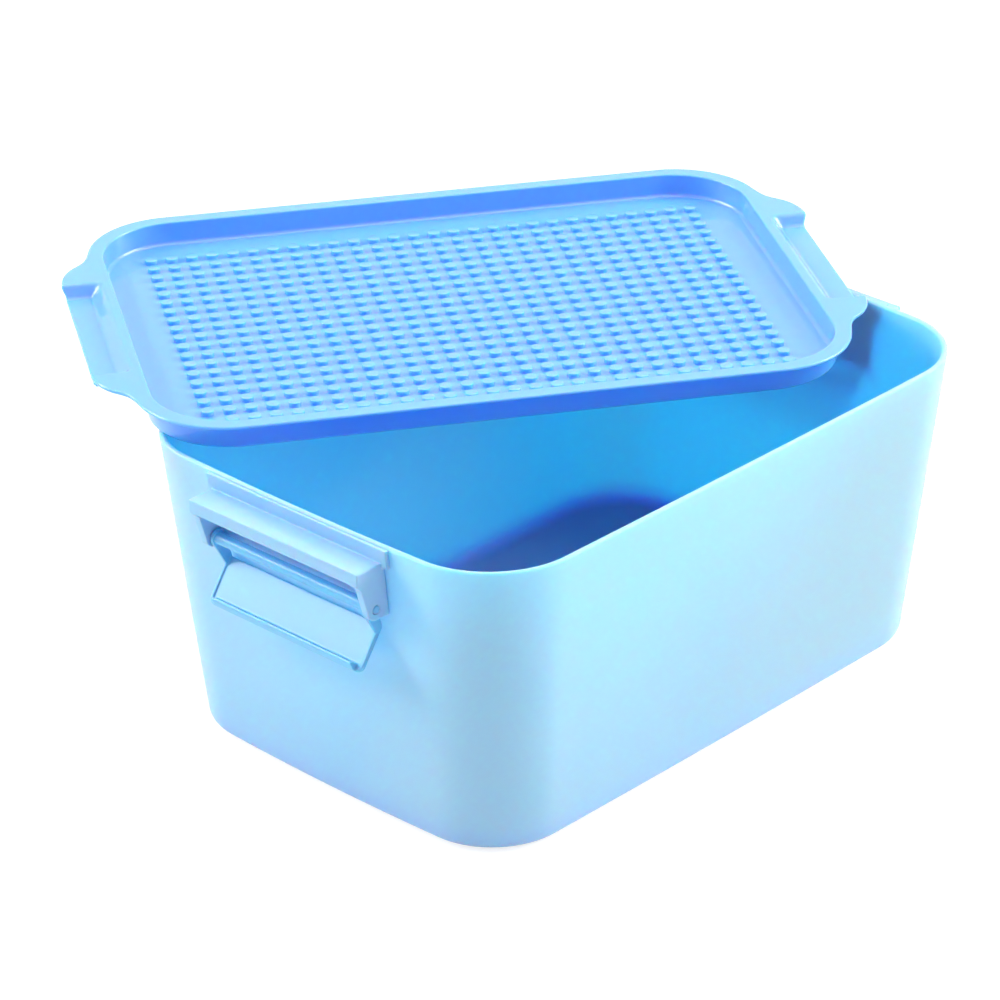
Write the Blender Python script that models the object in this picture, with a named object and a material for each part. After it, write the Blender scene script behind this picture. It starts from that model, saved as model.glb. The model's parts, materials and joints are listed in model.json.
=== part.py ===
"""Storage box for building blocks, with a studded tray lid and a snap latch at each end.

Units are metres, +Z is up. X runs along the box, Y across it, and the origin is the
middle of the underside. The lid lies loose and turned on the rim, and both latches hang.
"""
from math import cos, floor, pi, radians, sin, tan

import bmesh
import bpy
from mathutils import Matrix, Vector
from mathutils.geometry import delaunay_2d_cdt, interpolate_bezier

# Box body. Length and width are taken at the rim, where the sides would be straight.
box_length = 0.2646
box_width = 0.1876
box_height = 0.119
box_wall = 0.0023
box_floor = 0.0025
box_draft_degrees = 5.63
rim_corner_radius = 0.0345
base_corner_radius = 0.029
base_edge_radius = 0.004
floor_fillet_radius = 0.005
end_bow = 0.0028
side_bow = 0.0007

# Clearances. Two pieces that touch on the real box keep the seat gap.
seat_gap = 0.0003
plug_clearance = 0.0006
pin_clearance = 0.0002
latch_side_clearance = 0.0005
hood_clearance = 0.0004
hook_clearance = 0.0002
overrun = 0.002

# Hinge bracket on each end wall. Drops are measured down from the rim.
bracket_plate = 0.001
bracket_plate_drop = 0.0006
pad_reach = 0.0025
hood_half_width = 0.042
hood_drop = 0.0062
hood_wall = 0.0018
hood_lip = 0.0052
hood_overhang = 0.0091
cheek_thickness = 0.0033
cheek_step = 0.002
cheek_end_radius = 0.0041
pivot_drop = 0.0232
pivot_offset = 0.0055

# Latch flap, swung about its pins.
hang_degrees = 34.5
flap_thickness = 0.0014
flap_tip_drop = 0.0001
flap_corner_radius = 0.003
flap_rim_height = 0.0005
flap_rim_width = 0.0012
rod_radius = 0.0022
pin_radius = 0.0015
lobe_radius = 0.003
lobe_thickness = 0.0014
lobe_height = 0.0085
hook_engagement = 0.0006
hook_crest_width = 0.0009
hook_end_gap = 0.002

# Lid. Its rim laps over the box rim by the overhang, and its tray plugs the mouth.
lid_overhang = 0.0042
lid_corner_radius = 0.034
lid_flange = 0.0015
lid_edge_radius = 0.0007
tray_wall = 0.0017
tray_depth = 0.0091
tray_floor = 0.0018
tray_draft_degrees = 5.0
tray_fillet_radius = 0.003
tray_edge_radius = 0.0015
tab_reach = 0.0131
tab_recess_reach = 0.0119
tab_recess_clearance = 0.0003
tab_recess_depth = 0.0048
tab_recess_slope = 0.0072
tab_recess_start = 0.0023
tab_skin = 0.0015
tab_horn_width = 0.037
tab_flare_degrees = 20.0

# Stud field on the tray floor.
stud_pitch = 0.008
stud_diameter = 0.00485
stud_height = 0.0018
stud_margin = 0.0155
stud_sides = 5

# Where the loose lid lies on the rim.
lid_shift_x = 0.0176
lid_shift_y = 0.0665
lid_turn_degrees = -34.0

# Shape of a tab horn, as shares of the tab reach and of the horn width.
horn_tip_handle_share = 0.28
horn_waist_reach_share = 0.35
horn_waist_width_share = 0.5
horn_waist_handle_shares = (0.3, 0.087)
horn_flare_handle_share = 0.16
recess_handle_shares = ((0.35, 0.6), (0.6, 1.0))

# Counts of facets.
box_corner_steps = 7
box_side_steps = 5
lid_corner_steps = 7
round_sides = 12
curve_steps = 6
edge_steps = 3

# Places worked out from the sizes.
box_draft = tan(radians(box_draft_degrees))
tray_draft = tan(radians(tray_draft_degrees))
hang = radians(hang_degrees)
pivot_z = box_height - pivot_drop
tray_half_x = box_length / 2 - box_wall - plug_clearance
tray_half_y = box_width / 2 - box_wall - plug_clearance
tray_corner_radius = rim_corner_radius - box_wall - plug_clearance
lid_half_x = tray_half_x + lid_overhang
lid_half_y = tray_half_y + lid_overhang
lid_rim_z = box_height + seat_gap + tray_depth + tray_floor
closed_recess_z = box_height + seat_gap + lid_flange - tab_recess_depth


def wall_out(z):
    """Distance of the end wall's outer face from the middle of the box, at height z."""
    return box_length / 2 + end_bow - (box_height - z) * box_draft


pivot_out = wall_out(pivot_z) + pivot_offset
hood_front = pivot_out + hood_overhang
hood_top = box_height - hood_drop
flap_half_width = hood_half_width - cheek_thickness - latch_side_clearance
pad_half_width = hood_half_width + pad_reach
tab_recess_half_width = flap_half_width + tab_recess_clearance
flap_inner = hood_overhang + hood_clearance + flap_rim_height
flap_outer = flap_inner + flap_thickness
flap_tip = box_height - flap_tip_drop - pivot_z
hook_foot = closed_recess_z + hook_clearance - pivot_z
hook_offset = lid_half_x + tab_recess_reach - hook_engagement - pivot_out


def clear_scene():
    for thing in list(bpy.data.objects):
        bpy.data.objects.remove(thing, do_unlink=True)


def plastic(name, color, roughness):
    """Moulded plastic in one colour."""
    material = bpy.data.materials.new(name)
    material.use_nodes = True
    shader = material.node_tree.nodes["Principled BSDF"]
    shader.inputs["Base Color"].default_value = (*color, 1)
    shader.inputs["Roughness"].default_value = roughness
    shader.inputs["Metallic"].default_value = 0
    material.diffuse_color = (*color, 1)
    return material


def add_object(name, shape):
    """Turn a bmesh into a named object with its faces pointing out."""
    bmesh.ops.recalc_face_normals(shape, faces=shape.faces)
    mesh = bpy.data.meshes.new(name)
    shape.to_mesh(mesh)
    shape.free()
    result = bpy.data.objects.new(name, mesh)
    bpy.context.scene.collection.objects.link(result)
    return result


def combine(target, operation, *tools):
    """Join, cut or intersect an object with others, which are used up."""
    for tool in tools:
        step = target.modifiers.new("combine", "BOOLEAN")
        step.operation = operation
        step.object = tool
        step.solver = "EXACT"
        view = bpy.context.evaluated_depsgraph_get()
        result = bpy.data.meshes.new_from_object(target.evaluated_get(view))
        target.modifiers.clear()
        target.data = result
        bpy.data.objects.remove(tool, do_unlink=True)


def finish(piece, material, location, turn):
    """Give a piece its material and place, with curved faces shaded smooth."""
    piece.data.materials.clear()
    piece.data.materials.append(material)
    piece.data.shade_smooth()
    piece.data.set_sharp_from_angle(angle=radians(30))
    piece.location = location
    piece.rotation_euler = (0, 0, turn)


def rounded_ring(half_x, half_y, radius, z, corner_steps, side_steps=1):
    """Points of a rounded rectangle at height z, anticlockwise seen from above."""
    corners = ((1, 1), (-1, 1), (-1, -1), (1, -1))
    arcs = []
    for index, (side_x, side_y) in enumerate(corners):
        centre = Vector((side_x * (half_x - radius), side_y * (half_y - radius), z))
        start = index * pi / 2
        steps = [start + pi / 2 * k / corner_steps for k in range(corner_steps + 1)]
        arcs.append([centre + radius * Vector((cos(a), sin(a), 0)) for a in steps])
    points = []
    for arc, following in zip(arcs, arcs[1:] + arcs[:1]):
        points += arc
        for k in range(1, side_steps):
            points.append(arc[-1].lerp(following[0], k / side_steps))
    return points


def box_ring(z, inset):
    """Ring of the box wall at height z, moved inward by the inset and bowed."""
    depth = box_height - z
    half_x = box_length / 2 - depth * box_draft - inset
    half_y = box_width / 2 - depth * box_draft - inset
    taper = (rim_corner_radius - base_corner_radius) * depth / box_height
    radius = rim_corner_radius - taper - inset
    ring = rounded_ring(half_x, half_y, radius, z, box_corner_steps, box_side_steps)
    for point in ring:
        share_x = point.x / half_x
        share_y = point.y / half_y
        point.x += end_bow * share_x * (1 - share_y ** 2)
        point.y += side_bow * share_y * (1 - share_x ** 2)
    return ring


def lid_ring(inset, z):
    """Ring of the lid's rim, measured in from its outer edge."""
    radius = lid_corner_radius - inset
    return rounded_ring(lid_half_x - inset, lid_half_y - inset, radius, z, lid_corner_steps)


def tray_ring(inset, z):
    """Ring of the tray, measured in from the outer face of its wall."""
    radius = tray_corner_radius - inset
    return rounded_ring(tray_half_x - inset, tray_half_y - inset, radius, z, lid_corner_steps)


def quarter(steps):
    """Sine and one minus cosine through a quarter turn, for a rounded edge."""
    angles = [pi / 2 * k / steps for k in range(steps + 1)]
    return [(sin(a), 1 - cos(a)) for a in angles]


def skin(rings):
    """Skin rings of equal length and close the first, and return the shape and its last loop."""
    shape = bmesh.new()
    loops = [[shape.verts.new(point) for point in ring] for ring in rings]
    for low, high in zip(loops, loops[1:]):
        for k in range(len(low)):
            shape.faces.new((low[k - 1], low[k], high[k], high[k - 1]))
    shape.faces.new(loops[0])
    return shape, loops[-1]


def loft(rings):
    """Skin rings of equal length, and close the first and the last with flat faces."""
    shape, last = skin(rings)
    shape.faces.new(last)
    return shape


def prism_y(profile, low, high):
    """Extrude a profile of x and z points along Y."""
    return loft([[Vector((x, y, z)) for x, z in profile] for y in (low, high)])


def prism_z(outline, low, high):
    """Extrude an outline of x and y points along Z."""
    return loft([[Vector((x, y, z)) for x, y in outline] for z in (low, high)])


def disc(radius, sides, x=0, z=0):
    """Points of a circle in the XZ plane."""
    turns = [2 * pi * k / sides for k in range(sides)]
    return [(x + radius * cos(a), z + radius * sin(a)) for a in turns]


def curve(start, handle_a, handle_b, end, steps):
    """Points along a Bezier curve through two-number points."""
    knots = [Vector((x, y, 0)) for x, y in (start, handle_a, handle_b, end)]
    return [(p.x, p.y) for p in interpolate_bezier(*knots, steps + 1)]


def make_box_body():
    """Drafted, bowed bin with a rounded rim, a rounded foot and a filleted floor."""
    rings = []
    for up, inward in quarter(edge_steps):
        inset = base_edge_radius * (1 - up)
        rings.append(box_ring(base_edge_radius * inward, inset))
    lip = box_wall / 2
    for k in range(edge_steps + 2):
        turn = pi * k / (edge_steps + 1)
        rings.append(box_ring(box_height - lip + lip * sin(turn), lip - lip * cos(turn)))
    for inward, up in quarter(edge_steps):
        height = box_floor + floor_fillet_radius * (1 - inward)
        rings.append(box_ring(height, box_wall + floor_fillet_radius * up))
    return add_object("box_body", loft(rings))


def make_wall_cutter():
    """The outside of the box, grown by the seat gap, to seat a bracket against."""
    heights = (-overrun, box_height + overrun)
    return add_object("wall_cutter", loft([box_ring(z, -seat_gap) for z in heights]))


def make_bracket(name):
    """Back plate with a pad under the rim, a hood over the hinge and two cheeks."""
    plate_top = box_height - bracket_plate_drop
    plate_low = pivot_z - cheek_end_radius
    proud = seat_gap + bracket_plate

    def plate(low, high):
        inner = wall_out(low) - overrun
        return [(inner, low), (wall_out(low) + proud, low),
                (wall_out(high) + proud, high), (inner, high)]

    inner = wall_out(plate_low) - overrun
    lip_back = hood_front - hood_wall
    hood_under = hood_top - hood_wall
    lip_low = hood_top - hood_lip
    hood = [(inner, hood_top), (hood_front, hood_top), (hood_front, lip_low),
            (lip_back, lip_low), (lip_back, hood_under), (inner, hood_under)]
    cheek = [(inner, hood_top), (hood_front, hood_top), (hood_front, lip_low),
             (hood_front - cheek_step, lip_low - cheek_step)]
    for k in range(curve_steps + 1):
        turn = -pi / 2 * k / curve_steps
        cheek.append((pivot_out + cheek_end_radius * cos(turn),
                      pivot_z + cheek_end_radius * sin(turn)))
    cheek.append((inner, plate_low))

    width = hood_half_width
    bracket = add_object(name, prism_y(plate(plate_low, hood_top), -width, width))
    pad = add_object("pad", prism_y(plate(hood_under, plate_top), -pad_half_width, pad_half_width))
    roof = add_object("roof", prism_y(hood, -width, width))
    near = add_object("near", prism_y(cheek, -width, cheek_thickness - width))
    far = add_object("far", prism_y(cheek, width - cheek_thickness, width))
    hole = disc(pin_radius + pin_clearance, round_sides, pivot_out, pivot_z)
    bore = add_object("bore", prism_y(hole, -width - overrun, width + overrun))
    combine(bracket, "UNION", pad, roof, near, far)
    combine(bracket, "DIFFERENCE", bore, make_wall_cutter())
    return bracket


def heel_height(offset):
    """Where a point of the hanging flap, at this offset from the pin, meets the wall."""
    reach = pivot_offset - seat_gap / cos(radians(box_draft_degrees))
    rise = sin(hang) + box_draft * cos(hang)
    return (offset * (cos(hang) - box_draft * sin(hang)) - reach) / rise


def make_latch(name):
    """Flap with a hook, side rims, two lobes, a round bar and a pin at each end.

    It is drawn closed about its own pins, with x outward and z up, and then let down.
    """
    half = flap_half_width
    root = (flap_inner + flap_outer) / 2
    panel = [(flap_inner, heel_height(flap_inner)), (flap_outer, heel_height(flap_outer)),
             (flap_outer, flap_tip), (flap_inner, flap_tip)]
    rim = [(flap_inner - flap_rim_height, heel_height(flap_inner)),
           (root, heel_height(root)), (root, flap_tip), (flap_inner - flap_rim_height, flap_tip)]
    hook = [(root, hook_foot), (hook_offset, hook_foot),
            (hook_offset, hook_foot + hook_crest_width),
            (flap_inner - flap_rim_height, flap_tip), (root, flap_tip)]
    hook_half = half - flap_rim_width - hook_end_gap

    latch = add_object(name, prism_y(panel, -half, half))
    ridge = add_object("ridge", prism_y(hook, -hook_half, hook_half))
    bar = add_object("bar", prism_y(disc(rod_radius, round_sides), -half, half))
    combine(latch, "UNION", ridge)
    for side in (-1, 1):
        edge = side * half
        rail = add_object("rail", prism_y(rim, edge, edge - side * flap_rim_width))
        lobe = add_object("lobe", hull_lobe(root, edge, edge - side * lobe_thickness))
        combine(latch, "UNION", rail, lobe)
    combine(latch, "UNION", bar)
    outline = add_object("outline", flap_outline(half))
    combine(latch, "INTERSECT", outline)
    pins = add_object("pins", prism_y(disc(pin_radius, round_sides), -hood_half_width, hood_half_width))
    combine(latch, "UNION", pins)
    latch.data.transform(Matrix.Rotation(pi - hang, 4, "Y"))
    return latch


def hull_lobe(root, outer_y, inner_y):
    """Side plate that carries the flap on the bar: the hull of a boss and the flap's root."""
    profile = disc(lobe_radius, round_sides)
    profile += [(flap_inner, heel_height(flap_inner)), (root, heel_height(root)), (root, lobe_height)]
    shape = bmesh.new()
    for y in (outer_y, inner_y):
        for x, z in profile:
            shape.verts.new((x, y, z))
    hull = bmesh.ops.convex_hull(shape, input=shape.verts, use_existing_faces=False)
    spare = [v for v in hull["geom_interior"] if isinstance(v, bmesh.types.BMVert)]
    bmesh.ops.delete(shape, geom=spare, context="VERTS")
    return shape


def flap_outline(half):
    """Face outline of the flap, with its two outer corners rounded."""
    radius = flap_corner_radius
    low = -lobe_radius - overrun
    outline = [(-half, low)]
    for side in (-1, 1):
        for k in range(curve_steps + 1):
            turn = pi / 2 * k / curve_steps
            along = radius * (1 - cos(turn)) if side < 0 else radius * (1 - sin(turn))
            down = radius * (1 - sin(turn)) if side < 0 else radius * (1 - cos(turn))
            outline.append((side * (half - along), flap_tip - down))
    outline.append((half, low))
    rings = []
    for x in (-lobe_radius - overrun, flap_outer + overrun):
        rings.append([Vector((x, y, z)) for y, z in outline])
    return loft(rings)


def make_lid():
    """Rim, tray wall and studded floor in one skin, with a horned, recessed tab at each end."""
    under = -tray_depth - tray_floor
    wall_run = tray_depth + tray_floor - tray_edge_radius - lid_flange
    tuck = tray_draft * wall_run
    rings = []
    for up, inward in quarter(edge_steps):
        inset = tuck + tray_edge_radius * (1 - up)
        rings.append(tray_ring(inset, under + tray_edge_radius * inward))
    rings.append(tray_ring(0, -lid_flange))
    rings.append(lid_ring(0, -lid_flange))
    for inward, up in quarter(edge_steps):
        rings.append(lid_ring(lid_edge_radius * up, lid_edge_radius * (inward - 1)))
    for inward, up in quarter(edge_steps):
        rings.append(tray_ring(tray_wall - lid_edge_radius * (1 - inward), -lid_edge_radius * up))
    inner_run = tray_depth - tray_fillet_radius - lid_edge_radius
    foot = tray_wall + tray_draft * inner_run
    for inward, up in quarter(edge_steps):
        rings.append(tray_ring(foot + tray_fillet_radius * up, tray_fillet_radius * (1 - inward) - tray_depth))
    shape, border = skin(rings)
    add_studded_floor(shape, border)
    lid = add_object("lid", shape)
    for turn in (0, pi):
        spin = Matrix.Rotation(turn, 4, "Z")
        horns, pan, void = make_tab()
        for shape in (horns, pan, void):
            shape.data.transform(spin)
        combine(lid, "UNION", horns, pan)
        combine(lid, "DIFFERENCE", void)
    return lid


def make_tab():
    """The horned plate, the pan between the horns and the recess cut into it."""
    end = lid_half_x + tab_reach
    inner = tray_half_x - tray_wall / 2
    half = tab_recess_half_width
    flare = radians(tab_flare_degrees)
    corner = Vector((lid_half_x - lid_corner_radius, lid_half_y - lid_corner_radius))
    tangent = Vector((sin(flare), -cos(flare)))
    root_radius = lid_corner_radius - lid_edge_radius / 2
    root = corner + root_radius * Vector((cos(flare), sin(flare)))
    waist = Vector((lid_half_x + horn_waist_reach_share * tab_reach,
                    half + horn_waist_width_share * tab_horn_width))
    lean = Vector((horn_waist_handle_shares[0] * tab_reach,
                   -horn_waist_handle_shares[1] * tab_horn_width))
    tip_handle = (end, half + horn_tip_handle_share * tab_horn_width)
    flare_handle = root + tangent * horn_flare_handle_share * tab_horn_width
    outer = curve((end, half), tip_handle, waist + lean, waist, curve_steps)
    outer += curve(waist, waist - lean, flare_handle, root, curve_steps)[1:]
    side = outer + [(inner, root.y)]
    outline = side + [(x, -y) for x, y in reversed(side)]
    horns = add_object("horns", prism_z(outline, -lid_flange, 0))

    start = lid_half_x - tab_recess_start
    lip = lid_half_x + tab_recess_reach
    depth = tab_recess_depth
    handles = [(start + run * tab_recess_slope, -drop * depth) for run, drop in recess_handle_shares]
    slope = curve((start, 0), *handles, (start + tab_recess_slope, -depth), curve_steps)
    below = [(x - tab_skin / 2, z - tab_skin) for x, z in slope]
    middle = -lid_flange / 2
    pan_profile = [(start - tab_skin / 2, middle), (lip, middle), (lip, -depth - tab_skin)]
    pan_profile += reversed(below)
    pan_half = half + tab_skin
    pan = add_object("pan", prism_y(pan_profile, -pan_half, pan_half))
    past = end + overrun
    void_profile = slope + [(past, -depth), (past, overrun), (start, overrun)]
    void = add_object("void", prism_y(void_profile, -half, half))
    return horns, pan, void


def stud_places():
    """Centres of the studs, in a centred grid that leaves out one corner."""
    wall_run = tray_depth - lid_edge_radius
    edge = tray_wall + tray_draft * wall_run
    columns = floor(2 * (tray_half_x - edge - stud_margin) / stud_pitch) + 1
    rows = floor(2 * (tray_half_y - edge - stud_margin) / stud_pitch) + 1
    places = []
    for row in range(rows):
        for column in range(columns):
            if row == 0 and column == 0:
                continue
            places.append(Vector(((column - (columns - 1) / 2) * stud_pitch,
                                  (row - (rows - 1) / 2) * stud_pitch)))
    return places


def add_studded_floor(shape, border):
    """Fill the tray's last loop with its floor, and raise every stud from it."""
    count = len(border)
    places = stud_places()
    radius = stud_diameter / 2
    flat = [v.co.to_2d() for v in border]
    owner = [None] * count
    for index, place in enumerate(places):
        for k in range(stud_sides):
            turn = 2 * pi * k / stud_sides
            flat.append(place + radius * Vector((cos(turn), sin(turn))))
            owner.append(index)
    lines = [(k, (k + 1) % count) for k in range(count)]
    for index in range(len(places)):
        first = count + index * stud_sides
        lines += [(first + k, first + (k + 1) % stud_sides) for k in range(stud_sides)]
    points, _, triangles, origins, _, _ = delaunay_2d_cdt(flat, lines, [], 1, 1e-9)

    vert_of = dict(enumerate(border))
    for point, (origin, *_) in zip(points, origins):
        if origin >= count:
            vert_of[origin] = shape.verts.new((point.x, point.y, -tray_depth))
    for triangle in triangles:
        corners = [origins[k][0] for k in triangle]
        owners = {owner[corner] for corner in corners}
        if len(owners) > 1 or None in owners:
            shape.faces.new([vert_of[corner] for corner in corners])
    for index in range(len(places)):
        first = count + index * stud_sides
        foot = [vert_of[first + k] for k in range(stud_sides)]
        head = [shape.verts.new(v.co + Vector((0, 0, stud_height))) for v in foot]
        for k in range(stud_sides):
            shape.faces.new((foot[k - 1], foot[k], head[k], head[k - 1]))
        shape.faces.new(head)


def main():
    clear_scene()
    wall_blue = plastic("box_blue", (0.40, 0.74, 1.0), 0.38)
    latch_blue = plastic("latch_blue", (0.42, 0.72, 0.98), 0.4)
    lid_blue = plastic("lid_blue", (0.22, 0.55, 0.96), 0.42)

    finish(make_box_body(), wall_blue, (0, 0, 0), 0)
    for name, turn in (("right", 0), ("left", pi)):
        finish(make_bracket(name + "_bracket"), wall_blue, (0, 0, 0), turn)
        pivot = (pivot_out * cos(turn), 0, pivot_z)
        finish(make_latch(name + "_latch"), latch_blue, pivot, turn)
    finish(make_lid(), lid_blue, (lid_shift_x, lid_shift_y, lid_rim_z), radians(lid_turn_degrees))


main()
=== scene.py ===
"""Looks of the building block storage box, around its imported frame.

Units are metres and +Z is up, as in the frame. The box, both brackets, both latches and
the lid are modelled again here with their roundings, the round studs and the plastics.
"""
import json
from math import cos, pi, radians, sin, tan

import bmesh
import bpy
from mathutils import Matrix, Vector
from mathutils.geometry import delaunay_2d_cdt, interpolate_bezier


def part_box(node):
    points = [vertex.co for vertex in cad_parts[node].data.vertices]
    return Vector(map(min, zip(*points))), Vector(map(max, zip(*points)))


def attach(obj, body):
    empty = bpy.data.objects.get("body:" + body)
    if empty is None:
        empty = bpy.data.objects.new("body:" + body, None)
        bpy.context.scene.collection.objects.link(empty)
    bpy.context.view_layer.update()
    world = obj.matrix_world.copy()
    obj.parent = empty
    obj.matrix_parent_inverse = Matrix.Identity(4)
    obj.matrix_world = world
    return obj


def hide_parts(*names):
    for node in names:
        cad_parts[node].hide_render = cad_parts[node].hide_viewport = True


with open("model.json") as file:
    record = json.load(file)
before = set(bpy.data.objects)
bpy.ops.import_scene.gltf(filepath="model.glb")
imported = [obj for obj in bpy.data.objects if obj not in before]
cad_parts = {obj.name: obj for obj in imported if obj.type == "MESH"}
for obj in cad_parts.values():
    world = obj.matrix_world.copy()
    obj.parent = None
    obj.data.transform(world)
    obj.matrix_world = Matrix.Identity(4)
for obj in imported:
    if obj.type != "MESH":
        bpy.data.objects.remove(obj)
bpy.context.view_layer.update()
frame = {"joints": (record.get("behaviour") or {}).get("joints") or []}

# Camera, fitted to the stud grid, the rim and the outline of the box.
camera_place = Vector((-1.06053, -0.97992, 0.81849))
camera_turn_degrees = -46.376
camera_down_degrees = 27.369
camera_roll_degrees = -0.548
camera_lens = 157.3
camera_sensor = 36.0

# Box body.
box_length = 0.2646
box_width = 0.1876
box_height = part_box("box_body")[1].z
box_wall = 0.0023
box_floor = 0.0025
box_draft = tan(radians(5.63))
rim_corner_radius = 0.0345
base_corner_radius = 0.029
base_edge_radius = 0.004
floor_fillet_radius = 0.005
end_bow = 0.0028
side_bow = 0.0007

# Bracket and latch.
hinge = {joint["child"]: Vector(joint["pos_m"]) for joint in frame["joints"] if joint["type"] == "hinge"}
pivot_out = hinge["right_latch"].x
pivot_z = hinge["right_latch"].z
hang = radians(180 - frame["joints"][0]["range_deg"][1])
bracket_plate = 0.0013
bracket_gap = 0.0002
bracket_plate_drop = 0.0006
pad_half_width = 0.0445
hood_half_width = 0.042
hood_drop = 0.0062
hood_overhang = 0.0091
hood_top = box_height - hood_drop
hood_wall = 0.0018
hood_lip = 0.0052
hood_front = pivot_out + hood_overhang
cheek_thickness = 0.0033
cheek_step = 0.002
cheek_end_radius = 0.0041
flap_half_width = 0.0382
flap_inner = 0.010
flap_thickness = 0.0014
flap_tip_drop = 0.0001
flap_tip = box_height - flap_tip_drop - pivot_z
flap_corner_radius = 0.003
flap_heel_radius = 0.0012
flap_rim_height = 0.0005
flap_rim_width = 0.0012
hook_foot = 0.0204
hook_offset = 0.0066
hook_crest_width = 0.0009
hook_half_width = 0.035
rod_radius = 0.0022
pin_radius = 0.0015
pin_clearance = 0.0002
lobe_radius = 0.003
lobe_thickness = 0.0014
lobe_height = 0.0085
wall_reach = 0.0052

# Lid, in its own frame: the origin is the middle of the rim's top plane.
lid_low, lid_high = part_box("lid")
lid_place = Vector(((lid_low.x + lid_high.x) / 2, (lid_low.y + lid_high.y) / 2, lid_high.z))
lid_turn = radians(-34)
tray_half_x = 0.1294
tray_half_y = 0.0909
tray_corner_radius = 0.0316
lid_overhang = 0.0042
lid_corner_radius = 0.034
lid_flange = 0.0015
lid_edge_radius = 0.0007
tray_wall = 0.0017
tray_depth = 0.0091
tray_floor = 0.0018
tray_draft = tan(radians(5))
tray_fillet_radius = 0.0018
tray_edge_radius = 0.0015
tab_reach = 0.0131
tab_recess_reach = 0.0119
tab_recess_half_width = 0.0385
tab_recess_depth = 0.0048
tab_recess_slope = 0.006
tab_recess_start = 0.0028
tab_horn_width = 0.037
tab_flare = radians(20)
step_run = 0.0018
step_soft = 0.0048
lid_half_x = tray_half_x + lid_overhang
lid_half_y = tray_half_y + lid_overhang

# Studs.
stud_pitch = 0.008
stud_columns = 28
stud_rows = 19
stud_radius = 0.002425
stud_height = 0.0018
stud_edge = 0.00018
stud_sides = 24

# Shape of a tab horn, as shares of the tab reach and of the horn width.
horn_tip_handle_share = 0.28
horn_waist_reach_share = 0.35
horn_waist_width_share = 0.5
horn_waist_handle_shares = (0.3, 0.087)
horn_flare_handle_share = 0.16

# Remeshing of the small mouldings, which rounds their edges. The voxel is in millimetres.
millimetre = 0.001
voxel = 0.22
bracket_soften_steps = 14
bracket_keep_share = 0.12
latch_soften_steps = 5
latch_keep_share = 0.2

# Counts of facets.
round_sides = 32
box_corner_steps = 28
box_side_steps = 18
box_edge_steps = 8
wall_steps = 12
rim_steps = 12
bow_steps = 12
cheek_steps = 12
flap_tip_steps = 10
flap_heel_steps = 6
horn_steps = 24
lid_corner_steps = 36
lid_side_steps = 20
lid_end_steps = 26
lid_fillet_steps = 8
lid_edge_steps = 6
lid_under_steps = 4
lid_top_steps = 40
lid_bottom_steps = 32

# Closer stations where the recess of a tab begins and ends, as shares of its soft step.
step_stations = 12
step_reach_share = 0.6
step_clear_share = 0.65


# Shared modelling

def add_object(name, shape, smooth_degrees=40):
    """Turn a bmesh into a shaded object with its faces pointing out."""
    bmesh.ops.recalc_face_normals(shape, faces=shape.faces)
    mesh = bpy.data.meshes.new(name)
    shape.to_mesh(mesh)
    shape.free()
    mesh.shade_smooth()
    mesh.set_sharp_from_angle(angle=radians(smooth_degrees))
    result = bpy.data.objects.new(name, mesh)
    bpy.context.scene.collection.objects.link(result)
    return result


def rounded_ring(half_x, half_y, radius, z, corner_steps, side_steps=1):
    """Points of a rounded rectangle at height z, anticlockwise seen from above."""
    corners = ((1, 1), (-1, 1), (-1, -1), (1, -1))
    arcs = []
    for index, (side_x, side_y) in enumerate(corners):
        centre = Vector((side_x * (half_x - radius), side_y * (half_y - radius), z))
        start = index * pi / 2
        steps = [start + pi / 2 * k / corner_steps for k in range(corner_steps + 1)]
        arcs.append([centre + radius * Vector((cos(a), sin(a), 0)) for a in steps])
    points = []
    for arc, following in zip(arcs, arcs[1:] + arcs[:1]):
        points += arc
        for k in range(1, side_steps):
            points.append(arc[-1].lerp(following[0], k / side_steps))
    return points


def quarter(steps):
    """Sine and one minus cosine through a quarter turn, for a rounded edge."""
    angles = [pi / 2 * k / steps for k in range(steps + 1)]
    return [(sin(a), 1 - cos(a)) for a in angles]


def skin(shape, rings):
    """Skin rings of equal length and return their vertices, ring by ring."""
    loops = [[shape.verts.new(point) for point in ring] for ring in rings]
    for low, high in zip(loops, loops[1:]):
        for k in range(len(low)):
            shape.faces.new((low[k - 1], low[k], high[k], high[k - 1]))
    return loops


def loft(rings):
    shape = bmesh.new()
    loops = skin(shape, rings)
    shape.faces.new(loops[0])
    shape.faces.new(loops[-1])
    return shape


def prism_y(profile, low, high):
    """Extrude a profile of x and z points along Y."""
    return loft([[Vector((x, y, z)) for x, z in profile] for y in (low, high)])


def disc(radius, sides, x=0, z=0):
    turns = [2 * pi * k / sides for k in range(sides)]
    return [(x + radius * cos(a), z + radius * sin(a)) for a in turns]


def apply_modifiers(piece):
    view = bpy.context.evaluated_depsgraph_get()
    result = bpy.data.meshes.new_from_object(piece.evaluated_get(view))
    piece.modifiers.clear()
    piece.data = result


def with_hole(shape, hole):
    """Mesh of a shape with a hole cut through it."""
    piece = add_object("solid", shape)
    tool = add_object("hole", hole)
    step = piece.modifiers.new("cut", "BOOLEAN")
    step.operation = "DIFFERENCE"
    step.object = tool
    step.solver = "EXACT"
    apply_modifiers(piece)
    result = bmesh.new()
    result.from_mesh(piece.data)
    for thing in (tool, piece):
        bpy.data.objects.remove(thing, do_unlink=True)
    return result


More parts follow.
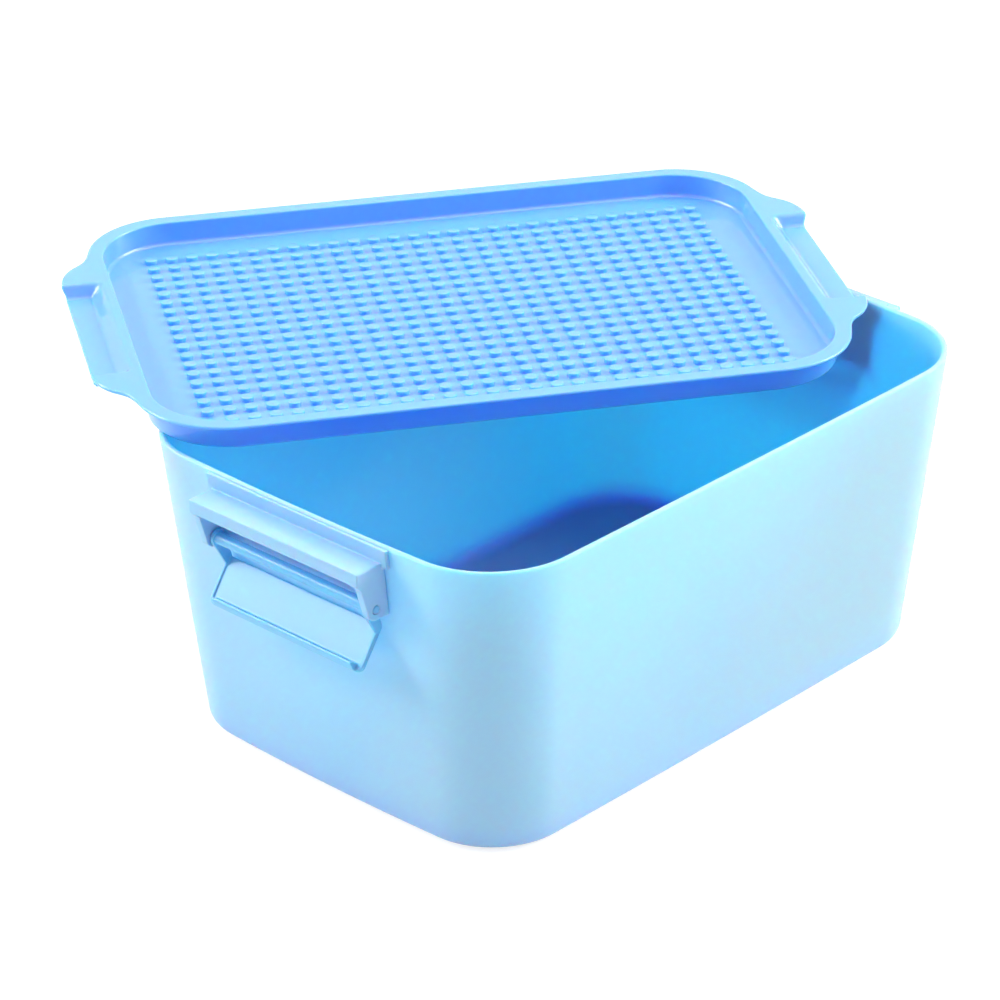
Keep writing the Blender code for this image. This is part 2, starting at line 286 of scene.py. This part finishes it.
def moulded(name, shapes, soften_steps, keep_share):
    """Merge overlapping shapes into one moulding with softened edges, by a fine remesh."""
    whole = bmesh.new()
    for shape in shapes:
        bmesh.ops.recalc_face_normals(shape, faces=shape.faces)
        part = bpy.data.meshes.new("part")
        shape.to_mesh(part)
        shape.free()
        whole.from_mesh(part)
        bpy.data.meshes.remove(part)
    mesh = bpy.data.meshes.new(name)
    whole.to_mesh(mesh)
    whole.free()
    piece = bpy.data.objects.new(name, mesh)
    bpy.context.scene.collection.objects.link(piece)
    piece.data.transform(Matrix.Scale(1 / millimetre, 4))
    remesh = piece.modifiers.new("remesh", "REMESH")
    remesh.mode = "VOXEL"
    remesh.voxel_size = voxel
    soften = piece.modifiers.new("soften", "SMOOTH")
    soften.factor = 0.5
    soften.iterations = soften_steps
    thin = piece.modifiers.new("thin", "DECIMATE")
    thin.ratio = keep_share
    apply_modifiers(piece)
    piece.data.transform(Matrix.Scale(millimetre, 4))
    piece.data.shade_smooth()
    return piece


# Box

def box_ring(z, inset):
    """Ring of the box wall at height z, moved inward by the inset and bowed."""
    depth = box_height - z
    half_x = box_length / 2 - depth * box_draft - inset
    half_y = box_width / 2 - depth * box_draft - inset
    taper = (rim_corner_radius - base_corner_radius) * depth / box_height
    ring = rounded_ring(half_x, half_y, rim_corner_radius - taper - inset, z,
                        box_corner_steps, box_side_steps)
    for point in ring:
        share_x = point.x / half_x
        share_y = point.y / half_y
        point.x += end_bow * share_x * (1 - share_y ** 2)
        point.y += side_bow * share_y * (1 - share_x ** 2)
    return ring


def make_box():
    """One skin up the outer wall, over the rim and down the inner wall to the floor."""
    rings = []
    for up, inward in quarter(box_edge_steps):
        rings.append(box_ring(base_edge_radius * inward, base_edge_radius * (1 - up)))
    lip = box_wall / 2
    foot_top = base_edge_radius
    rim_base = box_height - lip
    for k in range(1, wall_steps):
        rings.append(box_ring(foot_top + (rim_base - foot_top) * k / wall_steps, 0))
    for k in range(rim_steps + 1):
        turn = pi * k / rim_steps
        rings.append(box_ring(box_height - lip + lip * sin(turn), lip - lip * cos(turn)))
    for k in range(1, wall_steps):
        height = rim_base + (box_floor + floor_fillet_radius - rim_base) * k / wall_steps
        rings.append(box_ring(height, box_wall))
    for inward, up in quarter(box_edge_steps):
        height = box_floor + floor_fillet_radius * (1 - inward)
        rings.append(box_ring(height, box_wall + floor_fillet_radius * up))
    return add_object("box_shell", loft(rings))


# Bracket

def wall_out(z):
    """Distance of the end wall's outer face from the middle of the box, at height z."""
    return box_length / 2 + end_bow - (box_height - z) * box_draft


def make_bracket(name, side):
    """Pad under the rim, hood and cheeks as one moulding against the end wall."""
    plate_top = box_height - bracket_plate_drop
    plate_low = pivot_z - cheek_end_radius

    def back(z):
        return wall_out(z) + bracket_gap

    def plate(low, high, half):
        """Flat plate whose back follows the bow of the wall."""
        rings = []
        for k in range(bow_steps + 1):
            y = half * (2 * k / bow_steps - 1)
            drop = end_bow * (2 * y / box_width) ** 2
            profile = [(back(low) - drop, low), (wall_out(low) + bracket_plate, low),
                       (wall_out(high) + bracket_plate, high), (back(high) - drop, high)]
            rings.append([Vector((x, y, z)) for x, z in profile])
        return loft(rings)

    lip_back = hood_front - hood_wall
    hood_under = hood_top - hood_wall
    lip_low = hood_top - hood_lip
    hood = [(back(hood_top), hood_top), (hood_front, hood_top), (hood_front, lip_low),
            (lip_back, lip_low), (lip_back, hood_under), (back(hood_under), hood_under)]
    cheek = [(back(hood_top), hood_top), (hood_front, hood_top), (hood_front, lip_low),
             (hood_front - cheek_step, lip_low - cheek_step)]
    for k in range(cheek_steps + 1):
        turn = -pi / 2 * k / cheek_steps
        cheek.append((pivot_out + cheek_end_radius * cos(turn),
                      pivot_z + cheek_end_radius * sin(turn)))
    cheek.append((back(plate_low), plate_low))
    width = hood_half_width
    shapes = [plate(plate_low, hood_top, width), plate(hood_under, plate_top, pad_half_width),
              prism_y(hood, -width, width)]
    hole = disc(pin_radius + pin_clearance, round_sides, pivot_out, pivot_z)
    for low in (-width, width - cheek_thickness):
        bore = prism_y(hole, low - cheek_thickness, low + 2 * cheek_thickness)
        shapes.append(with_hole(prism_y(cheek, low, low + cheek_thickness), bore))
    piece = moulded(name, shapes, bracket_soften_steps, bracket_keep_share)
    if side < 0:
        piece.data.transform(Matrix.Rotation(pi, 4, "Z"))
    return piece


# Latch, drawn closed about its pins with x outward, then let down

def heel_height(offset):
    """Lowest the flap may reach at this offset and still clear the end wall when it hangs."""
    rise = sin(hang) + box_draft * cos(hang)
    return (offset * (cos(hang) - box_draft * sin(hang)) - wall_reach) / rise


def rounded_outline(half, heel, tip, radius):
    """Outline of a plate from its heel round its two tip corners."""
    outline = [(-half, heel)]
    corner = quarter(flap_tip_steps)
    outline += [(radius * inward - half, tip - radius * (1 - up)) for up, inward in corner]
    outline += [(half - radius * inward, tip - radius * (1 - up)) for up, inward in reversed(corner)]
    return outline + [(half, heel)]


def plate_x(planes, outline_at):
    """Plate through several x planes, each with its own lift of the heel."""
    return loft([[Vector((x, y, z)) for y, z in outline_at(x, lift)] for x, lift in planes])


def make_latch(name, side):
    """Flap, raised rim, hook, bar, pins and lobes as one moulding."""
    half = flap_half_width
    outer = flap_inner + flap_thickness
    root = flap_inner + flap_thickness / 2
    low_face = flap_inner - flap_rim_height

    def panel(x, lift):
        return rounded_outline(half, heel_height(x) + lift, flap_tip, flap_corner_radius)

    def rails(x, lift):
        """Raised rim down both sides and round the tip, as one open band."""
        inside = rounded_outline(half - flap_rim_width, heel_height(x) + lift, flap_tip - flap_rim_width,
                                 flap_corner_radius - flap_rim_width)
        return panel(x, lift) + inside[::-1]

    hook = [(root, hook_foot), (hook_offset, hook_foot), (hook_offset, hook_foot + hook_crest_width),
            (low_face, flap_tip), (root, flap_tip)]
    heel_edge = [(flap_inner + flap_heel_radius * inward, flap_heel_radius * (1 - up))
                 for up, inward in quarter(flap_heel_steps)]
    shapes = [plate_x(heel_edge + [(outer, 0)], panel),
              plate_x([(low_face, flap_heel_radius), (root, flap_heel_radius)], rails),
              prism_y(hook, -hook_half_width, hook_half_width),
              prism_y(disc(rod_radius, round_sides), -half, half),
              prism_y(disc(pin_radius, round_sides), -hood_half_width, hood_half_width)]
    for low in (-half, half - lobe_thickness):
        shapes.append(hull_lobe(root, low, low + lobe_thickness))
    piece = moulded(name, shapes, latch_soften_steps, latch_keep_share)
    piece.data.transform(Matrix.Rotation(pi - hang, 4, "Y"))
    piece.data.transform(Matrix.Translation((pivot_out, 0, pivot_z)))
    if side < 0:
        piece.data.transform(Matrix.Rotation(pi, 4, "Z"))
    return piece


def hull_lobe(root, low, high):
    """Side plate that carries the flap on the bar."""
    profile = disc(lobe_radius, round_sides)
    profile += [(flap_inner, heel_height(flap_inner)), (root, heel_height(root)), (root, lobe_height)]
    shape = bmesh.new()
    for y in (low, high):
        for x, z in profile:
            shape.verts.new((x, y, z))
    hull = bmesh.ops.convex_hull(shape, input=shape.verts, use_existing_faces=False)
    spare = [v for v in hull["geom_interior"] if isinstance(v, bmesh.types.BMVert)]
    bmesh.ops.delete(shape, geom=spare, context="VERTS")
    return shape


# Lid

def blend(low, high, value):
    """Smooth step from 0 at low to 1 at high."""
    share = min(max((value - low) / (high - low), 0), 1)
    return share * share * (3 - 2 * share)


def bezier(start, handle_a, handle_b, end, steps):
    knots = [Vector((x, y, 0)) for x, y in (start, handle_a, handle_b, end)]
    return [(p.x, p.y) for p in interpolate_bezier(*knots, steps + 1)]


def horn_curve():
    """Outer edge of a tab horn, from its tip to where it meets the rim's corner."""
    end = lid_half_x + tab_reach
    half = tab_recess_half_width
    corner = Vector((lid_half_x - lid_corner_radius, lid_half_y - lid_corner_radius))
    root = corner + lid_corner_radius * Vector((cos(tab_flare), sin(tab_flare)))
    tangent = Vector((sin(tab_flare), -cos(tab_flare)))
    waist = Vector((lid_half_x + horn_waist_reach_share * tab_reach,
                    half + horn_waist_width_share * tab_horn_width))
    lean_x, lean_y = horn_waist_handle_shares
    lean = Vector((lean_x * tab_reach, -lean_y * tab_horn_width))
    tip_handle = (end, half + horn_tip_handle_share * tab_horn_width)
    root_handle = root + tangent * horn_flare_handle_share * tab_horn_width
    outer = bezier((end, half), tip_handle, waist + lean, waist, horn_steps)
    outer += bezier(waist, waist - lean, root_handle, root, horn_steps)[1:]
    return outer


horn = horn_curve()


def along(points, value, key, result):
    """Read one coordinate of a curve at a value of the other, which rises along it."""
    for a, b in zip(points, points[1:]):
        if value <= b[key]:
            share = max(value - a[key], 0) / max(b[key] - a[key], 1e-9)
            return a[result] + (b[result] - a[result]) * share
    return points[-1][result]


def inside_lid(x, y):
    """Whether a point lies inside the outline of the rim and its tabs."""
    x, y = abs(x), abs(y)
    over_x = x - (lid_half_x - lid_corner_radius)
    over_y = y - (lid_half_y - lid_corner_radius)
    if over_x > 0 and over_y > 0:
        if Vector((over_x, over_y)).length <= lid_corner_radius:
            return True
    elif x <= lid_half_x and y <= lid_half_y:
        return True
    if y > horn[-1][1]:
        return False
    tip = lid_half_x + tab_reach
    lip = lid_half_x + tab_recess_reach
    if y < tab_recess_half_width + step_run:
        step = blend(tab_recess_half_width - step_run / 2, tab_recess_half_width + step_run, y)
        return x <= lip + (tip - lip) * step
    return x <= along(horn, y, 1, 0)


def recess(x, y):
    """Depth of the tab's recess at a point, zero outside it."""
    share = (abs(x) - (lid_half_x - tab_recess_start)) / tab_recess_slope
    if share <= 0:
        return 0
    fade = blend(-step_soft / 2, step_soft / 2, abs(y) - tab_recess_half_width)
    return tab_recess_depth * blend(0, 1, share) * (1 - fade)


def lid_stations():
    """Points round the outer face of the tray wall, each with its outward direction."""
    straight_x = tray_half_x - tray_corner_radius
    straight_y = tray_half_y - tray_corner_radius
    reach = step_soft * step_reach_share
    fine = [tab_recess_half_width + reach * (k / step_stations - 1)
            for k in range(2 * step_stations + 1)]
    ends = sorted({round(side * y, 6) for side in (-1, 1) for y in fine})
    coarse = [straight_y * k / lid_end_steps for k in range(1 - lid_end_steps, lid_end_steps)]
    clear = step_soft * step_clear_share
    ends += [y for y in coarse if abs(abs(y) - tab_recess_half_width) > clear]
    ends.sort()
    sides = [straight_x * k / lid_side_steps for k in range(1 - lid_side_steps, lid_side_steps)]
    stations = []
    for index in range(4):
        start = index * pi / 2
        if index == 0:
            stations += [(Vector((tray_half_x, y)), Vector((1, 0))) for y in ends]
        elif index == 1:
            stations += [(Vector((-x, tray_half_y)), Vector((0, 1))) for x in sides]
        elif index == 2:
            stations += [(Vector((-tray_half_x, -y)), Vector((-1, 0))) for y in ends]
        else:
            stations += [(Vector((x, -tray_half_y)), Vector((0, -1))) for x in sides]
        sign_x = 1 if index in (0, 3) else -1
        sign_y = 1 if index in (0, 1) else -1
        centre = Vector((sign_x * straight_x, sign_y * straight_y))
        for k in range(lid_corner_steps + 1):
            turn = start + pi / 2 * k / lid_corner_steps
            way = Vector((cos(turn), sin(turn)))
            stations.append((centre + tray_corner_radius * way, way))
    return stations


def lid_edge_distance(point, way):
    """Distance from a station to the lid's outline, found by halving."""
    low, high = 0, 2 * tab_reach
    for _ in range(24):
        middle = (low + high) / 2
        place = point + way * middle
        low, high = (middle, high) if inside_lid(place.x, place.y) else (low, middle)
    return low


def lid_section(point, way):
    """Section of the lid at a station, from the floor's edge over the rim to the underside."""
    edge = lid_edge_distance(point, way)
    path = []

    def add(distance, z):
        place = point + way * distance
        path.append(Vector((place.x, place.y, z)))

    def top(distance):
        place = point + way * distance
        return -recess(place.x, place.y)

    def under(distance):
        place = point + way * distance
        x = abs(place.x) + lid_flange / 2
        y = max(abs(place.y) - lid_flange, 0)
        return -recess(x, y) - lid_flange

    inner_run = tray_depth - tray_fillet_radius - lid_edge_radius
    foot = -tray_wall - tray_draft * inner_run
    for up, inward in quarter(lid_fillet_steps):
        add(foot - tray_fillet_radius * (1 - up), tray_fillet_radius * inward - tray_depth)
    for up, inward in quarter(lid_edge_steps):
        add(lid_edge_radius * inward - tray_wall, lid_edge_radius * (up - 1))
    first = lid_edge_radius - tray_wall
    last = edge - lid_edge_radius
    for k in range(1, lid_top_steps):
        distance = first + (last - first) * k / lid_top_steps
        add(distance, top(distance))
    for up, inward in quarter(lid_edge_steps):
        add(last + lid_edge_radius * up, top(last) - lid_edge_radius * inward)
    for up, inward in quarter(lid_under_steps):
        add(edge - lid_edge_radius * inward, top(last) - lid_flange + lid_edge_radius * (1 - up))
    for k in range(1, lid_bottom_steps):
        distance = last + (lid_edge_radius - last) * k / lid_bottom_steps
        add(distance, under(distance))
    for up, inward in quarter(lid_under_steps):
        add(lid_edge_radius * (1 - up), -lid_flange - lid_edge_radius * inward)
    wall_run = tray_depth + tray_floor - tray_edge_radius - lid_flange - lid_edge_radius
    tuck = -tray_draft * wall_run
    for inward, up in quarter(lid_edge_steps):
        add(tuck - tray_edge_radius * up, tray_edge_radius * (1 - inward) - tray_depth - tray_floor)
    return path


def stud_places():
    """Centres of the studs, in a centred grid that leaves out one corner."""
    places = []
    for row in range(stud_rows):
        for column in range(stud_columns):
            if row or column:
                x = (column - (stud_columns - 1) / 2) * stud_pitch
                y = (row - (stud_rows - 1) / 2) * stud_pitch
                places.append(Vector((x, y)))
    return places


def add_studded_floor(shape, border):
    """Fill the tray's floor round the feet of the studs, and raise each stud."""
    places = stud_places()
    flat = [v.co.to_2d() for v in border]
    owner = [None] * len(flat)
    turns = [2 * pi * k / stud_sides for k in range(stud_sides)]
    circle = [Vector((cos(a), sin(a))) for a in turns]
    for index, place in enumerate(places):
        flat += [place + stud_radius * way for way in circle]
        owner += [index] * stud_sides
    count = len(border)
    lines = [(k, (k + 1) % count) for k in range(count)]
    for index in range(len(places)):
        first = count + index * stud_sides
        lines += [(first + k, first + (k + 1) % stud_sides) for k in range(stud_sides)]
    points, _, triangles, origins, _, _ = delaunay_2d_cdt(flat, lines, [], 1, 1e-9)
    verts = [border[o[0]] if o[0] < count else shape.verts.new((p.x, p.y, -tray_depth))
             for p, o in zip(points, origins)]
    for triangle in triangles:
        owners = {owner[origins[k][0]] for k in triangle}
        if len(owners) > 1 or None in owners:
            shape.faces.new([verts[k] for k in triangle])
    slot = {o[0]: v for o, v in zip(origins, verts)}
    for index, place in enumerate(places):
        first = count + index * stud_sides
        lower = [slot[first + k] for k in range(stud_sides)]
        for radius, z in ((stud_radius, stud_height - stud_edge),
                          (stud_radius - stud_edge / 3, stud_height - stud_edge / 3),
                          (stud_radius - stud_edge, stud_height)):
            ring = [place + radius * way for way in circle]
            upper = [shape.verts.new((p.x, p.y, z - tray_depth)) for p in ring]
            for k in range(stud_sides):
                shape.faces.new((lower[k - 1], lower[k], upper[k], upper[k - 1]))
            lower = upper
        shape.faces.new(lower)


def make_lid():
    sections = [lid_section(point, way) for point, way in lid_stations()]
    rings = list(zip(*sections))
    shape = bmesh.new()
    loops = skin(shape, rings)
    shape.faces.new(loops[-1])
    add_studded_floor(shape, loops[0])
    lid = add_object("lid_moulding", shape, smooth_degrees=50)
    lid.data.transform(Matrix.Translation(lid_place) @ Matrix.Rotation(lid_turn, 4, "Z"))
    return lid


# Materials

coat_roughness = 0.05
plastic_ior = 1.49
light_travel_shares = (0.02, 0.62, 1.0)
cloud_scale = 14
cloud_detail = 3
cloud_dark = 0.975
cloud_light = 1.02
grain_scale = 900
grain_detail = 2
grain_height = 0.0001
roughness_spread = 0.05

# Depth that light reaches in the free walls, and where a wall is backed.
wall_light_depth = 0.014
backed_light_depth = 0.004

# How far the shallower light behind a bracket and above the base takes to fade out.
backed_fade_in = 0.014
backed_fade_out = 0.004
backed_fade_down = 0.006


def plastic(name, color, roughness, polish_share, cloudy_depth, grain_share):
    """Moulded plastic under a thin polished skin, cloudy inside, with a fine uneven surface."""
    material = bpy.data.materials.new(name)
    material.use_nodes = True
    nodes = material.node_tree.nodes
    links = material.node_tree.links
    shader = nodes["Principled BSDF"]
    shader.inputs["Coat Weight"].default_value = polish_share
    shader.inputs["Coat Roughness"].default_value = coat_roughness
    shader.inputs["Subsurface Weight"].default_value = 1.0
    shader.inputs["Subsurface Radius"].default_value = light_travel_shares
    shader.inputs["IOR"].default_value = plastic_ior
    shader.inputs["Subsurface Scale"].default_value = cloudy_depth
    place = nodes.new("ShaderNodeTexCoord")

    cloud = nodes.new("ShaderNodeTexNoise")
    cloud.inputs["Scale"].default_value = cloud_scale
    cloud.inputs["Detail"].default_value = cloud_detail
    links.new(place.outputs["Object"], cloud.inputs["Vector"])
    tint = nodes.new("ShaderNodeMix")
    tint.data_type = "RGBA"
    tint.inputs["A"].default_value = (*[c * cloud_dark for c in color], 1)
    tint.inputs["B"].default_value = (*[min(c * cloud_light, 1) for c in color], 1)
    links.new(cloud.outputs["Fac"], tint.inputs["Factor"])
    links.new(tint.outputs["Result"], shader.inputs["Base Color"])

    grain = nodes.new("ShaderNodeTexNoise")
    grain.inputs["Scale"].default_value = grain_scale
    grain.inputs["Detail"].default_value = grain_detail
    links.new(place.outputs["Object"], grain.inputs["Vector"])
    polish = nodes.new("ShaderNodeMapRange")
    polish.inputs["To Min"].default_value = roughness - roughness_spread
    polish.inputs["To Max"].default_value = roughness + roughness_spread
    links.new(grain.outputs["Fac"], polish.inputs["Value"])
    links.new(polish.outputs["Result"], shader.inputs["Roughness"])
    bump = nodes.new("ShaderNodeBump")
    bump.inputs["Strength"].default_value = grain_share
    bump.inputs["Distance"].default_value = grain_height
    links.new(grain.outputs["Fac"], bump.inputs["Height"])
    links.new(bump.outputs["Normal"], shader.inputs["Normal"])
    return material


def map_range(material, source, lows, highs):
    """Map a value from one range to another, held at its ends."""
    step = material.node_tree.nodes.new("ShaderNodeMapRange")
    step.inputs["From Min"].default_value, step.inputs["From Max"].default_value = lows
    step.inputs["To Min"].default_value, step.inputs["To Max"].default_value = highs
    material.node_tree.links.new(source, step.inputs["Value"])
    return step.outputs["Result"]


def close_where_backed(material, closed_depth, open_depth):
    """Let light go deep in the free walls, and less deep in the base and behind a bracket."""
    nodes = material.node_tree.nodes
    links = material.node_tree.links
    place = nodes.new("ShaderNodeTexCoord")
    parts = nodes.new("ShaderNodeSeparateXYZ")
    links.new(place.outputs["Object"], parts.inputs["Vector"])
    across = nodes.new("ShaderNodeMath")
    across.operation = "ABSOLUTE"
    links.new(parts.outputs["Y"], across.inputs[0])
    bracket_low = pivot_z - cheek_end_radius
    side_fade = (pad_half_width - backed_fade_in, pad_half_width + backed_fade_out)
    low_fade = (bracket_low - backed_fade_down, bracket_low + backed_fade_down)
    beside = map_range(material, across.outputs["Value"], side_fade, (0, 1))
    below = map_range(material, parts.outputs["Z"], low_fade, (1, 0))
    rise = (box_floor, box_floor + 2 * floor_fillet_radius)
    above = map_range(material, parts.outputs["Z"], rise, (0, 1))
    free = nodes.new("ShaderNodeMath")
    free.operation = "MAXIMUM"
    links.new(beside, free.inputs[0])
    links.new(below, free.inputs[1])
    both = nodes.new("ShaderNodeMath")
    both.operation = "MINIMUM"
    links.new(free.outputs["Value"], both.inputs[0])
    links.new(above, both.inputs[1])
    depth = map_range(material, both.outputs["Value"], (0, 1), (closed_depth, open_depth))
    links.new(depth, nodes["Principled BSDF"].inputs["Subsurface Scale"])


def dress(piece, material, body, slot, *nodes):
    """Give a piece its finish, its body and the nodes that it stands for."""
    piece.data.materials.clear()
    piece.data.materials.append(material)
    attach(piece, body)
    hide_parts(*nodes)


# Stage

floor_white = 0.9
floor_shadow_share = 0.3
floor_glow = 0.8
world_level = 0.2


def make_floor():
    """White floor that shows white to the camera and still takes the box's shadow."""
    shape = bmesh.new()
    bmesh.ops.create_grid(shape, x_segments=2, y_segments=2, size=6)
    floor_piece = add_object("floor", shape)
    material = bpy.data.materials.new("floor_white")
    material.use_nodes = True
    nodes = material.node_tree.nodes
    links = material.node_tree.links
    shader = nodes["Principled BSDF"]
    shader.inputs["Roughness"].default_value = 0.9
    shader.inputs["Specular IOR Level"].default_value = 0
    shader.inputs["Emission Color"].default_value = (1, 1, 1, 1)
    path = nodes.new("ShaderNodeLightPath")
    seen = nodes.new("ShaderNodeMath")
    seen.operation = "MAXIMUM"
    links.new(path.outputs["Is Camera Ray"], seen.inputs[0])
    links.new(path.outputs["Is Glossy Ray"], seen.inputs[1])
    glow = nodes.new("ShaderNodeMath")
    glow.operation = "MULTIPLY"
    glow.inputs[1].default_value = floor_glow
    links.new(seen.outputs["Value"], glow.inputs[0])
    links.new(glow.outputs["Value"], shader.inputs["Emission Strength"])
    paint = nodes.new("ShaderNodeMix")
    paint.data_type = "RGBA"
    paint.inputs["A"].default_value = (*[floor_white] * 3, 1)
    paint.inputs["B"].default_value = (*[floor_shadow_share] * 3, 1)
    links.new(seen.outputs["Value"], paint.inputs["Factor"])
    links.new(paint.outputs["Result"], shader.inputs["Base Color"])
    floor_piece.data.materials.append(material)


def area_light(name, place, target, size, power):
    """Rectangular white lamp at a place, turned towards a target."""
    data = bpy.data.lights.new(name, "AREA")
    data.shape = "RECTANGLE"
    data.size, data.size_y = size
    data.energy = power
    light = bpy.data.objects.new(name, data)
    bpy.context.scene.collection.objects.link(light)
    light.location = place
    light.rotation_euler = (Vector(target) - Vector(place)).to_track_quat("-Z", "Y").to_euler()


def make_world():
    """White surroundings for the camera and mirror images, and a low level on the object."""
    world = bpy.data.worlds.new("studio")
    bpy.context.scene.world = world
    world.use_nodes = True
    nodes = world.node_tree.nodes
    links = world.node_tree.links
    background = nodes["Background"]
    background.inputs["Color"].default_value = (1, 1, 1, 1)
    path = nodes.new("ShaderNodeLightPath")
    level = nodes.new("ShaderNodeMapRange")
    level.inputs["To Min"].default_value = world_level
    level.inputs["To Max"].default_value = 1.0
    seen = nodes.new("ShaderNodeMath")
    seen.operation = "MAXIMUM"
    links.new(path.outputs["Is Camera Ray"], seen.inputs[0])
    links.new(path.outputs["Is Glossy Ray"], seen.inputs[1])
    links.new(seen.outputs["Value"], level.inputs["Value"])
    links.new(level.outputs["Result"], background.inputs["Strength"])


def make_camera():
    data = bpy.data.cameras.new("camera")
    data.lens = camera_lens
    data.sensor_width = camera_sensor
    data.clip_end = 20
    camera = bpy.data.objects.new("camera", data)
    bpy.context.scene.collection.objects.link(camera)
    turn = Matrix.Rotation(radians(camera_turn_degrees), 4, "Z")
    down = Matrix.Rotation(pi / 2 - radians(camera_down_degrees), 4, "X")
    roll = Matrix.Rotation(radians(camera_roll_degrees), 4, "Z")
    camera.matrix_world = Matrix.Translation(camera_place) @ turn @ down @ roll
    bpy.context.scene.camera = camera


def main():
    make_camera()
    make_world()
    make_floor()
    area_light("left_soft", (-0.92, 1.4, 1.1), (0, 0, 0.06), (1.2, 1.0), 37)
    area_light("right_soft", (1.3, -1.0, 1.1), (0, 0, 0.06), (1.2, 1.0), 40)
    area_light("rear_soft", (0.75, 0.7, 1.5), (0, 0, 0.12), (1.4, 1.0), 5)
    area_light("top_soft", (0.2, -0.35, 1.65), (0, 0, 0.1), (1.2, 1.2), 10)

    box_blue = plastic("box_plastic", (0.38, 0.62, 1.0), roughness=0.5, polish_share=0.15,
                       cloudy_depth=wall_light_depth, grain_share=0.12)
    close_where_backed(box_blue, backed_light_depth, wall_light_depth)
    bracket_blue = plastic("bracket_plastic", (0.37, 0.64, 1.0), roughness=0.5, polish_share=0.15,
                           cloudy_depth=0.0001, grain_share=0.12)
    latch_blue = plastic("latch_plastic", (0.2, 0.59, 1.0), roughness=0.45, polish_share=0.3,
                         cloudy_depth=0.0001, grain_share=0.1)
    lid_blue = plastic("lid_plastic", (0.135, 0.43, 0.97), roughness=0.5, polish_share=1.0,
                       cloudy_depth=0.004, grain_share=0.08)

    dress(make_box(), box_blue, "box", "box_plastic", "box_body")
    for label, side in (("left", -1), ("right", 1)):
        bracket = make_bracket(label + "_bracket_moulding", side)
        dress(bracket, bracket_blue, "box", "box_plastic", label + "_bracket")
        latch = make_latch(label + "_latch_moulding", side)
        dress(latch, latch_blue, label + "_latch", "latch_plastic", label + "_latch")
    dress(make_lid(), lid_blue, "lid", "lid_plastic", "lid")

    bpy.context.scene.view_settings.view_transform = "Standard"


main()
